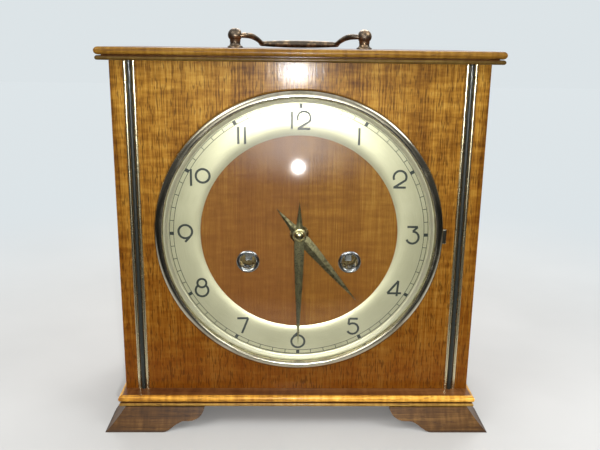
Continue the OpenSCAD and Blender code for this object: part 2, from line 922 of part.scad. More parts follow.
// the anchor, its arbor and the crutch that pushes the pendulum
module anchor() {
    crutch_y = pend_y - 3;
    color("silver") at(anchor_at) {
        along_y(s0 + escape_s - 0.6, s0 + escape_s + 1.6) {
            circle(r = 2.6);
            difference() {
                translate([0, escape_at[1] - anchor_at[1]]) difference() {
                    circle(r = pallet_r + 2.4);
                    circle(r = pallet_r);
                }
                translate([-30, -40]) square([60, 31]);
            }
        }
        bar(1, s0 + 0.6, bp - 0.6);
        bar(pivot_r, fp, crutch_y + 1);
        translate([-1, crutch_y, -24]) cube([2, 1, 24]);
        translate([-3, crutch_y, -25]) cube([6, 1, 2]);
        for (x = [-3, 1.8]) translate([x, crutch_y, -25]) cube([1.2, 6, 2]);
    }
}

// the suspension spring, the rod, the bob and its rating nut
module pendulum() {
    bob_z = -pend_l;
    color("gold") at(anchor_at) {
        translate([-2, pend_y - 0.15, -6]) cube([4, 0.3, 9]);
        translate([-3, pend_y - 1, -10]) cube([6, 2, 4]);
        translate([-1, pend_y - 0.8, bob_z - 20]) cube([2, 1.6, -bob_z + 11]);
        translate([0, 0, bob_z]) bar(15, pend_y - 3, pend_y + 3);
        translate([0, pend_y, bob_z - 18.6]) cylinder(r = 3.4, h = 2.4);
    }
}

// ---------------------------------------------------------------- striking train

module strike_second_wheel() {
    color("gold") at(s_second_at) {
        wheel(train_n, train_m, second_s, 1.4);
        pinion(big_leaf_n, great_m, 28.6, 5.4,
            mesh_turn(strike_at, great_n, s_second_at, big_leaf_n));
        arbor(1.4);
    }
}

pin_n = 8;
pin_ring = 10;
pin_r = 0.6;

// the wheel whose eight pins lift the hammers
module pin_wheel() {
    color("gold") at(pin_at) {
        wheel(train_n, train_m, centre_s, 1.2);
        along_y(s0 + centre_s, s0 + centre_s + 1.2) difference() {
            circle(r = pin_ring + 1.2);
            circle(r = pin_ring - 1.2);
        }
        for (i = [0:pin_n - 1]) rotate([0, i * 360 / pin_n, 0]) translate([pin_ring, 0, 0])
            bar(pin_r, s0 + centre_s, s0 + centre_s + 5);
        pinion(leaf_n, train_m, second_s - 1.4, 5, mesh_turn(s_second_at, train_n, pin_at, leaf_n));
        arbor(1);
    }
}

module warning_wheel() {
    color("gold") at(warn_at) {
        wheel(fast_n, train_m, third_s, 1.2, 2.4);
        pinion(leaf_n, train_m, centre_s - 2, 5, mesh_turn(pin_at, train_n, warn_at, leaf_n));
        arbor(1);
    }
}

// the air brake
module fly() {
    color("gold") at(fly_at) {
        pinion(leaf_n, train_m, third_s - 2, 5, mesh_turn(warn_at, fast_n, fly_at, leaf_n));
        arbor(1);
        block([-9, s0 + 25.5, -0.4], [9, s0 + 37, 0.4]);
    }
}

// ---------------------------------------------------------------- hammers and gongs

// hammer k strikes gong rod k: a head on its arm, hung from a hub at the hammer arbor, and a
// tail towards the pin wheel
module hammer(k, hub_r) {
    y = rod_ys[k];
    tail = dist(hammer_at, pin_at) - pin_ring - pin_r - 0.5;
    tail_s = s0 + centre_s + (k == 1 ? 1.6 : 3.4);
    at(hammer_at) {
        bar(hub_r + 1.2, y - 1.6, y + 1.6);
        translate([-1, y - 0.8, -hammer_l]) cube([2, 1.6, hammer_l - 1.5]);
        translate([-2.6, y, -hammer_l]) rotate([0, 90, 0]) cylinder(r = head_r, h = 10, center = true);
        rotate([0, -dir(hammer_at, pin_at), 0]) block([0, tail_s, -0.8], [tail, tail_s + 1.4, 0.8]);
    }
}

// the hammer on the arbor itself, its tail in front of the tube
module hammer_low() {
    color("silver") {
        hammer(1, 1);
        at(hammer_at) bar(1, fp, rod_ys[1] + 1.6);
    }
}

// the hammer on the tube that turns round the arbor
module hammer_high() {
    color("silver") difference() {
        union() {
            hammer(0, 2);
            at(hammer_at) bar(2, s0 + centre_s + 3.2, rod_ys[0] + 1.6);
        }
        at(hammer_at) bar(1 + fit, s0, rod_ys[1]);
    }
}

block_h = 22;

module gong_rods() {
    color("silver") for (y = rod_ys) translate([gong_x, y, foot_rise + 6])
        cylinder(r = gong_r, h = y == rod_ys[0] ? rod_l : rod_l - 12);
}

module gong_block() {
    color("dimgray") difference() {
        block([gong_x - 15, rod_ys[0] - 7, foot_rise], [gong_x + 15, rod_ys[1] + 7, foot_rise + block_h]);
        for (y = rod_ys) translate([gong_x, y, foot_rise + 6]) cylinder(r = gong_r, h = block_h);
    }
}

// ---------------------------------------------------------------- nodes

top_board();
base_board();
front_panel();
side_panel_left();
side_panel_right();
back_rails();
back_stiles();
front_feet();
back_feet();
brass_beads();
black_strips();
back_door();
door_fixed_leaves();
door_moving_leaves();
door_hinge_pins();
door_knob();
handle_posts();
handle_bail();
chapter_ring();
winding_eyelets();
bezel_rim();
bezel_glass();
bezel_sight_ring();
bezel_fixed_leaf();
bezel_hinge_pin();
hour_hand();
minute_hand();
hand_nut();
cannon_pinion();
minute_wheel();
hour_wheel();
front_plate();
back_plate();
plate_pillars();
mounting_screws();
going_barrel();
going_mainspring();
going_arbor();
going_ratchet();
going_click();
strike_barrel();
strike_mainspring();
strike_arbor();
strike_ratchet();
strike_click();
second_wheel();
centre_wheel();
third_wheel();
fourth_wheel();
escape_wheel();
anchor();
pendulum();
strike_second_wheel();
pin_wheel();
warning_wheel();
fly();
hammer_low();
hammer_high();
gong_rods();
gong_block();
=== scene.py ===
import json
import math

import bmesh
import bpy
from mathutils import Matrix, Vector


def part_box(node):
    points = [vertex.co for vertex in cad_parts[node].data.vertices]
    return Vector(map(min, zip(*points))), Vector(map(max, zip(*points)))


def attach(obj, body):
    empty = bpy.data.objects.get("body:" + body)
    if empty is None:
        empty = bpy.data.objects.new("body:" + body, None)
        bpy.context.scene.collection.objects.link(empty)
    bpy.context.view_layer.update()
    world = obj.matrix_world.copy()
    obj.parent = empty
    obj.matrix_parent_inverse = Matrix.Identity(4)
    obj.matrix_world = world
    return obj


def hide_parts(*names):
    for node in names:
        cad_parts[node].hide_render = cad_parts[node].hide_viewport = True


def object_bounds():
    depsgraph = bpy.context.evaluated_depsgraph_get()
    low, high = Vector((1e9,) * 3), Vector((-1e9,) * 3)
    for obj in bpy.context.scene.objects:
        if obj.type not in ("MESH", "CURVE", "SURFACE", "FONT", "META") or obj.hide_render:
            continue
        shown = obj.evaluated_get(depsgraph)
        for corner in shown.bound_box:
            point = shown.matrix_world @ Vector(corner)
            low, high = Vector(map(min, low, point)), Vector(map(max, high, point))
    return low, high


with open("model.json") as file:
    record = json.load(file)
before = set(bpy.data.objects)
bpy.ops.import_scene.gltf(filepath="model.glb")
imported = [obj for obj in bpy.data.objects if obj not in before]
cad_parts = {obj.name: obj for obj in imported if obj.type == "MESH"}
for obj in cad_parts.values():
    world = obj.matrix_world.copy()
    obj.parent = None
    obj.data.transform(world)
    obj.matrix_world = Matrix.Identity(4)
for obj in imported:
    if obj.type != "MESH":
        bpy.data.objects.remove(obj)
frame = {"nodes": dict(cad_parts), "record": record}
cad_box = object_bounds()
NODES = frame["nodes"]
MM = 0.001


# ---------------------------------------------------------------- places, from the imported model

ring_lo, ring_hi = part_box("chapter_ring")
panel_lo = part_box("front_panel")[0]
rim_lo, rim_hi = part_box("bezel_rim")
glass_lo, glass_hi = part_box("bezel_glass")
sight_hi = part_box("bezel_sight_ring")[1]
nut_lo, nut_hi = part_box("hand_nut")
eyelet_lo, eyelet_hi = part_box("winding_eyelets")
post_lo, post_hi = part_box("handle_posts")
top_lo, top_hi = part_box("top_board")
base_lo, base_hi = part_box("base_board")
rails_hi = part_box("back_rails")[1]

FACE = panel_lo.y
DIAL = Vector((0, FACE, (ring_lo.z + ring_hi.z) / 2))
RING_OUT = ring_hi.x
RING_IN = 62.8 * MM
RIM_OUT = (rim_hi.z - rim_lo.z) / 2
RIM_CREST = FACE - rim_lo.y
SIGHT_OUT = sight_hi.x
BACK_FACE = rails_hi.y


# ---------------------------------------------------------------- meshes

def bridge(bm, rows, wrap=False, ends=True):
    """Joins each ring of points to the next; the ends are closed, joined together or left open."""
    for one, two in zip(rows, rows[1:] + (rows[:1] if wrap else [])):
        for k in range(len(one)):
            m = (k + 1) % len(one)
            bm.faces.new((one[k], one[m], two[m], two[k]))
    if ends and not wrap:
        bm.faces.new(rows[0])
        bm.faces.new(rows[-1])


def add_lathe(bm, outline, centre, axis="dial", segments=160):
    """Turns a closed outline of (radius, height) about the dial's axis, or an upright one."""
    rows = []
    for k in range(segments):
        a = 2 * math.pi * k / segments
        row = []
        for r, h in outline:
            if axis == "dial":
                row.append(bm.verts.new(centre + Vector((r * math.sin(a), -h, r * math.cos(a)))))
            else:
                row.append(bm.verts.new(centre + Vector((r * math.cos(a), r * math.sin(a), h))))
        rows.append(row)
    bridge(bm, rows, wrap=True)
    bmesh.ops.remove_doubles(bm, verts=[v for row in rows for v in row], dist=1e-7)
    bmesh.ops.dissolve_degenerate(bm, edges=bm.edges, dist=1e-8)


def add_tube(bm, path, radii, segments=24, up=Vector((0, 0, 1))):
    """A round bar along a path, with its own radius at each point."""
    rows = []
    for i, p in enumerate(path):
        ahead = path[min(i + 1, len(path) - 1)] - path[max(i - 1, 0)]
        ahead.normalize()
        side = ahead.cross(up).normalized()
        over = side.cross(ahead).normalized()
        rows.append([bm.verts.new(p + radii[i] * (side * math.cos(a) + over * math.sin(a)))
                     for a in (2 * math.pi * k / segments for k in range(segments))])
    bridge(bm, rows)


def smooth_path(points, steps):
    """A smooth curve through the points."""
    out = []
    ends = [2 * points[0] - points[1], *points, 2 * points[-1] - points[-2]]
    for a, b, c, d in zip(ends, ends[1:], ends[2:], ends[3:]):
        for k in range(steps):
            t = k / steps
            out.append(0.5 * (2 * b + (c - a) * t + (2 * a - 5 * b + 4 * c - d) * t ** 2
                              + (3 * b - a - 3 * c + d) * t ** 3))
    out.append(points[-1])
    return out


def make(name, body, finish, bm, sharp=34, stands_for=()):
    """Makes a piece of a finished mesh, and lets it ride on its body."""
    bmesh.ops.recalc_face_normals(bm, faces=bm.faces)
    for f in bm.faces:
        f.smooth = True
    for e in bm.edges:
        e.smooth = len(e.link_faces) == 2 and e.calc_face_angle(0) < math.radians(sharp)
    mesh = bpy.data.meshes.new(name)
    bm.to_mesh(mesh)
    bm.free()
    mesh.materials.append(finish)
    o = bpy.data.objects.new(name, mesh)
    bpy.context.scene.collection.objects.link(o)
    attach(o, body)
    if stands_for:
        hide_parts(*stands_for)
    return o


# ---------------------------------------------------------------- finishes

class Nodes:
    """Short calls for the nodes of a tree."""

    def __init__(self, tree):
        self.tree = tree

    def add(self, kind, inputs=None, **props):
        n = self.tree.nodes.new(kind)
        for key, value in props.items():
            setattr(n, key, value)
        for key, value in (inputs or {}).items():
            if isinstance(value, bpy.types.NodeSocket):
                self.tree.links.new(value, n.inputs[key])
            else:
                n.inputs[key].default_value = value
        return n

    def split(self, vector):
        return self.add("ShaderNodeSeparateXYZ", {0: vector}).outputs

    def join(self, x, y, z):
        return self.add("ShaderNodeCombineXYZ", {0: x, 1: y, 2: z}).outputs[0]

    def sum(self, kind, a, b=0.0, c=0.0):
        return self.add("ShaderNodeMath", {0: a, 1: b, 2: c}, operation=kind).outputs[0]

    def noise(self, vector, x, y, z, detail=2.0, rough=0.5, twist=0.0):
        """Noise that changes x, y and z times a metre along each axis."""
        scaled = self.add("ShaderNodeMapping", {0: vector, 3: (x, y, z)}).outputs[0]
        return self.add("ShaderNodeTexNoise", {"Vector": scaled, "Scale": 1.0, "Detail": detail,
                                               "Roughness": rough, "Distortion": twist}).outputs[0]

    def ramp(self, factor, *stops):
        """A smooth step through stops of (place, colour or number)."""
        n = self.add("ShaderNodeValToRGB", {0: factor})
        while len(n.color_ramp.elements) < len(stops):
            n.color_ramp.elements.new(0.5)
        for e, (at, value) in zip(n.color_ramp.elements, stops):
            e.position = at
            e.color = (*value, 1) if isinstance(value, tuple) else (value, value, value, 1)
        return n.outputs[0]

    def level(self, factor, low, high):
        """0 below low and 1 above high, straight between."""
        return self.add("ShaderNodeMapRange", {0: factor, 1: low, 2: high}).outputs[0]

    def mix(self, factor, a, b):
        n = self.add("ShaderNodeMix", {0: factor}, data_type="RGBA")
        for k, value in ((6, a), (7, b)):
            if isinstance(value, bpy.types.NodeSocket):
                self.tree.links.new(value, n.inputs[k])
            else:
                n.inputs[k].default_value = (*value, 1)
        return n.outputs[2]


class Finish(Nodes):
    """A material with one Principled shader."""

    def __init__(self, name, **sockets):
        self.material = bpy.data.materials.new(name)
        self.material.use_nodes = True
        super().__init__(self.material.node_tree)
        self.shader = self.tree.nodes["Principled BSDF"]
        self.place = self.add("ShaderNodeTexCoord").outputs["Object"]
        for socket, value in sockets.items():
            self.feed(socket, value)

    def feed(self, socket, value):
        """Sets one of the shader's sockets, or links it."""
        target = self.shader.inputs[socket.replace("_", " ")]
        if isinstance(value, bpy.types.NodeSocket):
            self.tree.links.new(value, target)
        elif isinstance(value, tuple):
            target.default_value = (*value, 1)
        else:
            target.default_value = value

    def bump(self, height, strength, distance, socket="Normal"):
        n = self.add("ShaderNodeBump", {"Height": height, "Strength": strength, "Distance": distance})
        self.feed(socket, n.outputs[0])


def grain(f, along, a, b, pore=0.6):
    """Wood's own pattern, as a tone and a mask of its pores; along names the axis of the grain."""
    def at(n, cross, length, **more):
        scales = {"x": (length, cross, cross), "y": (cross, length, cross), "z": (cross, cross, length)}
        return f.noise(n, *scales[along], **more)
    fibre = at(a, 1100, 20, detail=4, rough=0.62)
    ribbon = at(a, 95, 3, detail=2, twist=0.4)
    figure = at(b, 70, 330, detail=3)
    cloud = f.noise(b, 11, 11, 8, detail=2)
    pores = f.level(at(b, 1300, 170, detail=1), pore, pore + 0.08)
    tone = f.sum("MULTIPLY_ADD", fibre, 0.38,
                 f.sum("MULTIPLY_ADD", ribbon, 0.26,
                       f.sum("MULTIPLY_ADD", figure, 0.22, f.sum("MULTIPLY", cloud, 0.14))))
    return tone, pores, fibre


def veneer_finish():
    """Ribbon-striped veneer, matched like a book at the middle, under lacquer.

    It is darkened towards the base board with painted shade. Inside the chapter ring it is lightened by a
    painted haze of light mirrored by the glass, which also hides most of its pores, and its left half there
    is redder.
    """
    f = Finish("ribbon_veneer", Roughness=0.40, Specular_IOR_Level=0.08, Coat_Weight=0.17,
               Coat_IOR=1.35, Coat_Roughness=0.13)
    x, y, z = f.split(f.place)
    book = f.join(f.sum("ABSOLUTE", x), y, z)
    tone, pores, fibre = grain(f, "z", book, f.place, pore=0.565)
    colour = f.ramp(tone, (0.39, (0.095, 0.032, 0.002)), (0.47, (0.23, 0.098, 0.009)),
                    (0.54, (0.39, 0.190, 0.023)), (0.62, (0.56, 0.325, 0.058)))
    # painted shade: the veneer is darkened over the lowest 190 mm, more towards the base board
    low = f.level(z, base_hi.z + 190 * MM, base_hi.z)
    colour = f.mix(f.sum("MULTIPLY", low, 0.86), colour, (0.14, 0.034, 0.001))
    up = f.sum("SUBTRACT", z, DIAL.z)
    r = f.sum("SQRT", f.sum("ADD", f.sum("MULTIPLY", x, x), f.sum("MULTIPLY", up, up)))
    inside = f.level(r, RING_IN + 0.6 * MM, RING_IN)
    left = f.level(x, 0.2 * MM, -0.2 * MM)
    # painted reflection: inside the chapter ring the veneer is lightened towards a pale pink, a painted haze
    # of light mirrored by the glass
    painted_haze_colour = f.mix(f.sum("MULTIPLY", inside, 0.40), colour, (0.30, 0.125, 0.032))
    colour = f.mix(f.sum("MULTIPLY", f.sum("MULTIPLY", inside, left), 0.30), painted_haze_colour, (0.20, 0.070, 0.028))
    # the painted haze also hides most of the dark pores inside the chapter ring
    shown = f.sum("MULTIPLY_ADD", inside, -0.5, 0.62)
    colour = f.mix(f.sum("MULTIPLY", pores, shown), colour, (0.050, 0.016, 0.002))
    f.feed("Base Color", colour)
    f.bump(f.sum("SUBTRACT", fibre, pores), 0.18, 0.00012)
    f.bump(f.sum("MULTIPLY_ADD", fibre, 0.5, f.noise(f.place, 220, 220, 60, detail=2)), 0.10, 0.0004,
           "Coat Normal")
    return f.material


def moulding_finish(name, lo, hi, light, gilt_light):
    """A board with mitred beads: honey above, a groove painted dark red as shade, gilt below, and a redder
    top; light and gilt_light set how light each board is painted, as painted light and shade.
    """
    f = Finish(name, Roughness=0.34, Specular_IOR_Level=0.12, Coat_Weight=0.35, Coat_IOR=1.35,
               Coat_Roughness=0.16)
    x, y, z = f.split(f.place)
    mid = (lo.y + hi.y) / 2
    dx = f.sum("SUBTRACT", f.sum("ABSOLUTE", x), hi.x)
    dy = f.sum("SUBTRACT", f.sum("ABSOLUTE", f.sum("SUBTRACT", y, mid)), (hi.y - lo.y) / 2)
    side = f.sum("GREATER_THAN", dx, f.sum("MAXIMUM", dy, -0.012))
    turned = f.mix(side, f.place, f.join(y, x, z))
    tone, pores, fibre = grain(f, "x", turned, turned)
    t = hi.z - lo.z
    up = f.sum("SUBTRACT", z, lo.z)
    honey = f.ramp(tone, *((at, tuple(light * c for c in colour)) for at, colour in (
        (0.38, (0.13, 0.048, 0.004)), (0.50, (0.32, 0.155, 0.018)), (0.62, (0.52, 0.31, 0.060)))))
    gilt = f.ramp(tone, *((at, tuple(gilt_light * c for c in colour)) for at, colour in (
        (0.38, (0.10, 0.050, 0.007)), (0.51, (0.22, 0.125, 0.022)), (0.62, (0.38, 0.24, 0.055)))))
    red = f.ramp(tone, (0.38, (0.075, 0.022, 0.006)), (0.52, (0.17, 0.065, 0.018)),
                 (0.64, (0.27, 0.12, 0.040)))
    colour = f.mix(f.level(up, t * 0.40, t * 0.36), honey, gilt)
    # painted shade: the groove between the beads is painted a near-black red
    groove = f.sum("MULTIPLY", f.level(up, t * 0.29, t * 0.34), f.level(up, t * 0.46, t * 0.40))
    colour = f.mix(groove, colour, (0.055, 0.010, 0.003))
    flat = f.level(f.sum("MAXIMUM", dx, dy), -1.6 * MM, -2.6 * MM)
    colour = f.mix(flat, colour, red)
    colour = f.mix(f.sum("MULTIPLY", pores, 0.5), colour, (0.06, 0.02, 0.006))
    f.feed("Base Color", colour)
    f.bump(f.sum("SUBTRACT", fibre, pores), 0.2, 0.00012)
    return f.material


def walnut_finish():
    """Dark walnut, its grain along each side of the case, with painted shade at its lowest edges, where the
    feet stand on the floor.
    """
    f = Finish("dark_walnut", Roughness=0.42, Specular_IOR_Level=0.12, Coat_Weight=0.15, Coat_Roughness=0.25)
    x, y, z = f.split(f.place)
    dx = f.sum("SUBTRACT", f.sum("ABSOLUTE", x), cad_box[1].x)
    dy = f.sum("SUBTRACT", f.sum("ABSOLUTE", y), cad_box[1].y)
    turned = f.mix(f.sum("GREATER_THAN", dx, dy), f.place, f.join(y, x, z))
    tone, pores, fibre = grain(f, "x", turned, turned)
    colour = f.ramp(tone, (0.38, (0.036, 0.016, 0.005)), (0.50, (0.086, 0.038, 0.009)),
                    (0.62, (0.19, 0.095, 0.026)))
    # painted shade: the lowest 1.6 mm, where the feet stand on the floor, is darkened
    colour = f.mix(f.level(z, 1.6 * MM, 0.2 * MM), colour, (0.035, 0.018, 0.010))
    colour = f.mix(f.sum("MULTIPLY", pores, 0.55), colour, (0.03, 0.014, 0.007))
    f.feed("Base Color", colour)
    f.bump(f.sum("SUBTRACT", fibre, pores), 0.25, 0.00012)
    return f.material


def plain_wood_finish():
    """The plain stained wood of the back."""
    f = Finish("plain_wood", Roughness=0.62)
    tone, pores, fibre = grain(f, "z", f.place, f.place, pore=0.57)
    colour = f.ramp(tone, (0.38, (0.20, 0.10, 0.042)), (0.52, (0.40, 0.235, 0.115)),
                    (0.64, (0.54, 0.36, 0.20)))
    f.feed("Base Color", f.mix(f.sum("MULTIPLY", pores, 0.7), colour, (0.10, 0.05, 0.025)))
    f.bump(f.sum("SUBTRACT", fibre, pores), 0.35, 0.00015)
    return f.material


def metal_finish(name, bright, dull, smooth=0.16, coarse=0.34, patch=90, dull_from=0.52, brushed=None,
                 metallic=1.0):
    """A metal with patches of tarnish, roughness that follows them, and fine scratches."""
    f = Finish(name, Metallic=metallic)
    patches = f.noise(f.place, patch, patch, patch, detail=5, rough=0.62)
    dulled = f.level(patches, dull_from - 0.08, dull_from + 0.14)
    f.feed("Base Color", f.mix(dulled, bright, dull))
    fine = f.noise(f.place, *(brushed or (2400, 2400, 2400)), detail=3)
    rough = f.add("ShaderNodeMapRange", {0: dulled, 3: smooth, 4: coarse}).outputs[0]
    f.feed("Roughness", f.sum("MULTIPLY_ADD", f.sum("SUBTRACT", fine, 0.5), 0.12, rough))
    f.bump(fine, 0.10, 0.00004)
    return f.material


def dial_finish():
    """Champagne metal with a satin that was brushed round the dial."""
    f = Finish("champagne_satin", Metallic=0.5)
    x, y, z = f.split(f.place)
    up = f.sum("SUBTRACT", z, DIAL.z)
    r = f.sum("SQRT", f.sum("ADD", f.sum("MULTIPLY", x, x), f.sum("MULTIPLY", up, up)))
    angle = f.sum("ARCTAN2", x, up)
    lines = f.noise(f.join(r, angle, 0.0), 7000, 6, 1, detail=3, rough=0.6)
    haze = f.noise(f.place, 35, 35, 35, detail=3)
    tone = f.sum("MULTIPLY_ADD", lines, 0.5, f.sum("MULTIPLY", haze, 0.5))
    f.feed("Base Color", f.ramp(tone, (0.38, (0.57, 0.53, 0.345)), (0.62, (0.70, 0.655, 0.45))))
    f.feed("Roughness", f.add("ShaderNodeMapRange", {0: lines, 3: 0.30, 4: 0.42}).outputs[0])
    f.bump(lines, 0.12, 0.00003)
    return f.material


def paint_finish(name, colour, lighter, roughness=0.35, coat=0.0):
    """A dark paint or lacquer with faint rubbed specks."""
    f = Finish(name, Coat_Weight=coat, Coat_Roughness=0.12)
    specks = f.level(f.noise(f.place, 900, 900, 500, detail=3, rough=0.7), 0.66, 0.72)
    soft = f.noise(f.place, 150, 150, 150, detail=3)
    f.feed("Base Color", f.mix(specks, f.mix(soft, colour, tuple(0.6 * c for c in colour)), lighter))
    f.feed("Roughness", f.add("ShaderNodeMapRange",
                              {0: soft, 3: roughness - 0.08, 4: roughness + 0.08}).outputs[0])
    f.bump(soft, 0.08, 0.0001)
    return f.material


def bronze_finish():
    """Antique bronze: nearly black in the hollows, rubbed golden brown where hands touch it."""
    f = Finish("antique_bronze", Metallic=1.0)
    patches = f.noise(f.place, 160, 160, 160, detail=5, rough=0.65)
    worn = f.level(patches, 0.47, 0.62)
    f.feed("Base Color", f.mix(worn, (0.13, 0.105, 0.08), (0.42, 0.29, 0.17)))
    f.feed("Roughness", f.add("ShaderNodeMapRange", {0: worn, 3: 0.46, 4: 0.30}).outputs[0])
    f.bump(f.noise(f.place, 1400, 1400, 1400, detail=3), 0.16, 0.00006)
    return f.material


def glass_finish():
    """Clear glass that lets lamps through, and mirrors only on the faces that a ray goes in by."""
    m = bpy.data.materials.new("clear_glass")
    m.use_nodes = True
    m.node_tree.nodes.clear()
    n = Nodes(m.node_tree)
    share = n.add("ShaderNodeFresnel", {"IOR": 1.62}).outputs[0]
    entering = n.sum("SUBTRACT", 1.0, n.add("ShaderNodeNewGeometry").outputs["Backfacing"])
    through = n.add("ShaderNodeBsdfTransparent", {"Color": (0.97, 0.985, 0.975, 1)})
    mirror = n.add("ShaderNodeBsdfGlossy", {"Roughness": 0.06, "Color": (1, 1, 1, 1)})
    both = n.add("ShaderNodeMixShader", {0: n.sum("MULTIPLY", share, entering), 1: through.outputs[0],
                                         2: mirror.outputs[0]})
    n.add("ShaderNodeOutputMaterial", {"Surface": both.outputs[0]})
    return m


VENEER = veneer_finish()
# one moulding wood, painted darker on the top board and about two and a half to three times as light on the
# base board: painted light and shade for how each board is lit
TOP_MOULDING = moulding_finish("top_moulding", top_lo, top_hi, 0.85, 0.5)
BASE_MOULDING = moulding_finish("base_moulding", base_lo, base_hi, 2.1, 1.6)
WALNUT = walnut_finish()
PLAIN = plain_wood_finish()
TRIM_BRASS = metal_finish("trim_brass", (0.74, 0.65, 0.42), (0.50, 0.42, 0.24), 0.24, 0.34, 60, 0.56)
BEZEL_BRASS = metal_finish("bezel_brass", (0.56, 0.52, 0.40), (0.34, 0.31, 0.22), 0.14, 0.28, 60, 0.54)
SIGHT_BRASS = metal_finish("sight_brass", (0.76, 0.71, 0.53), (0.69, 0.64, 0.46), 0.34, 0.38, 50, 0.58,
                           (500, 500, 500), metallic=0.75)
HAND_BRASS = metal_finish("hand_brass", (0.42, 0.38, 0.21), (0.24, 0.21, 0.10), 0.28, 0.42, 300, 0.55)
HOUR_BRASS = metal_finish("hour_brass", (0.34, 0.30, 0.16), (0.075, 0.062, 0.032), 0.28, 0.50, 330, 0.48)
NUT_BRASS = metal_finish("nut_brass", (0.66, 0.60, 0.34), (0.38, 0.33, 0.15), 0.15, 0.30, 300, 0.55)
CLOCK_BRASS = metal_finish("clock_brass", (0.78, 0.58, 0.26), (0.52, 0.36, 0.15), 0.22, 0.38, 70, 0.55,
                           (300, 3000, 3000))
HINGE_BRASS = metal_finish("hinge_brass", (0.76, 0.58, 0.28), (0.45, 0.32, 0.14), 0.20, 0.36, 150)
STEEL = metal_finish("steel", (0.56, 0.56, 0.55), (0.38, 0.37, 0.35), 0.22, 0.36, 120, 0.55,
                     (3000, 300, 3000))
BLUED = metal_finish("blued_steel", (0.10, 0.13, 0.24), (0.17, 0.13, 0.16), 0.20, 0.34, 120)
NICKEL = metal_finish("nickel", (0.42, 0.42, 0.43), (0.20, 0.20, 0.22), 0.14, 0.30, 260, 0.54)
IRON = metal_finish("cast_iron", (0.055, 0.054, 0.052), (0.03, 0.03, 0.03), 0.55, 0.75, 300, metallic=0.6)
CHAMPAGNE = dial_finish()
BLACK = paint_finish("black_lacquer", (0.012, 0.016, 0.013), (0.09, 0.085, 0.06), 0.42, 0.25)
DIAL_INK = paint_finish("dial_ink", (0.035, 0.042, 0.034), (0.06, 0.065, 0.05), 0.45)
BRONZE = bronze_finish()
GLASS = glass_finish()

BY_SLOT = {"veneer": VENEER, "moulding": TOP_MOULDING, "dark_walnut": WALNUT, "plain_wood": PLAIN,
           "polished_brass": HINGE_BRASS, "black_lacquer": BLACK, "aged_brass": BEZEL_BRASS,
           "bronze": BRONZE, "champagne_dial": CHAMPAGNE, "nickel": NICKEL, "clear_glass": GLASS,
           "clock_brass": CLOCK_BRASS, "steel": STEEL, "blued_steel": BLUED, "cast_iron": IRON}
BY_NODE = {"base_board": BASE_MOULDING, "brass_beads": TRIM_BRASS, "bezel_sight_ring": SIGHT_BRASS}

for row in frame["record"]["subparts"]:
    node = NODES[row["node"]]
    finish = BY_NODE.get(row["node"], BY_SLOT[row["material_slot"]])
    for s in node.material_slots:
        s.material = finish


# ---------------------------------------------------------------- soft edges on the CAD's own woodwork

def soften(name, width):
    """Rounds a CAD node's sharp edges a little, as sanding and lacquer do."""
    o = NODES[name]
    if "custom_normal" in o.data.attributes:
        o.data.attributes.remove(o.data.attributes["custom_normal"])
    for p in o.data.polygons:
        p.use_smooth = True
    weld = o.modifiers.new("weld", "WELD")
    weld.merge_threshold = 1e-6
    bevel = o.modifiers.new("bevel", "BEVEL")
    bevel.width = width
    bevel.segments = 2
    bevel.limit_method = "ANGLE"
    bevel.angle_limit = math.radians(35)
    bevel.use_clamp_overlap = True
    level = o.modifiers.new("normals", "WEIGHTED_NORMAL")
    level.keep_sharp = False
    level.weight = 100


for name, width in (("front_feet", 0.35), ("back_feet", 0.35), ("side_panel_left", 0.3),
                    ("side_panel_right", 0.3), ("back_rails", 0.3), ("back_stiles", 0.3),
                    ("gong_block", 0.6)):
    soften(name, width * MM)


# ---------------------------------------------------------------- dial

def ring_height(r):
    """How far the chapter ring's domed face stands out of the panel at a radius."""
    inner = (r - RING_IN) / (4.2 * MM)
    outer = (r - RING_IN) / (RING_OUT - RING_IN)
    return (0.25 + 1.55 * (1 - math.exp(-inner)) - 0.95 * outer ** 2) * MM


def chapter_ring():
    """The chapter ring, whose face rises at the inner edge and falls gently to the outer one."""
    steps = 28
    width = RING_OUT - RING_IN
    face = [(RING_IN + width * k / steps, ring_height(RING_IN + width * k / steps))
            for k in range(steps + 1)]
    bm = bmesh.new()
    add_lathe(bm, [*face, (RING_OUT, 0.02 * MM), (RING_IN, 0.02 * MM)], DIAL, segments=256)
    make("chapter_ring_domed", "case", CHAMPAGNE, bm, 40, ["chapter_ring"])


def add_stroke(bm, points, width, closed=False):
    """A printed stroke through points (right and up of the dial's middle) on the ring's domed face."""
    n = len(points)
    rows = []
    for i, (u, v) in enumerate(points):
        before = points[(i - 1) % n] if closed or i else points[i]
        after = points[(i + 1) % n] if closed or i < n - 1 else points[i]
        a = Vector((u - before[0], v - before[1]))
        b = Vector((after[0] - u, after[1] - v))
        a = a.normalized() if a.length else b.normalized()
        b = b.normalized() if b.length else a
        across = Vector((-(a.y + b.y), a.x + b.x)).normalized()
        reach = width / 2 / max(0.5, across.dot(Vector((-a.y, a.x))))
        row = []
        for side, lift in ((-1, -0.15), (-1, 0.06), (1, 0.06), (1, -0.15)):
            x, z = u + across.x * reach * side, v + across.y * reach * side
            h = ring_height(math.hypot(x, z)) + lift * MM
            row.append(bm.verts.new(DIAL + Vector((x, -h, z))))
        rows.append(row)
    bridge(bm, rows, wrap=closed)


def refine(points, step=0.5):
    """The same line, with a point at least every step."""
    out = []
    for a, b in zip(points, points[1:]):
        parts = max(1, math.ceil(math.dist(a, b) / step))
        out += [(a[0] + (b[0] - a[0]) * k / parts, a[1] + (b[1] - a[1]) * k / parts) for k in range(parts)]
    return [*out, points[-1]]


def arc(u, v, r, start, end, steps=24):
    """Points of an arc, its angles in degrees from the right, upwards."""
    return [(u + r * math.cos(math.radians(start + (end - start) * k / steps)),
             v + r * math.sin(math.radians(start + (end - start) * k / steps)))
            for k in range(steps + 1)]


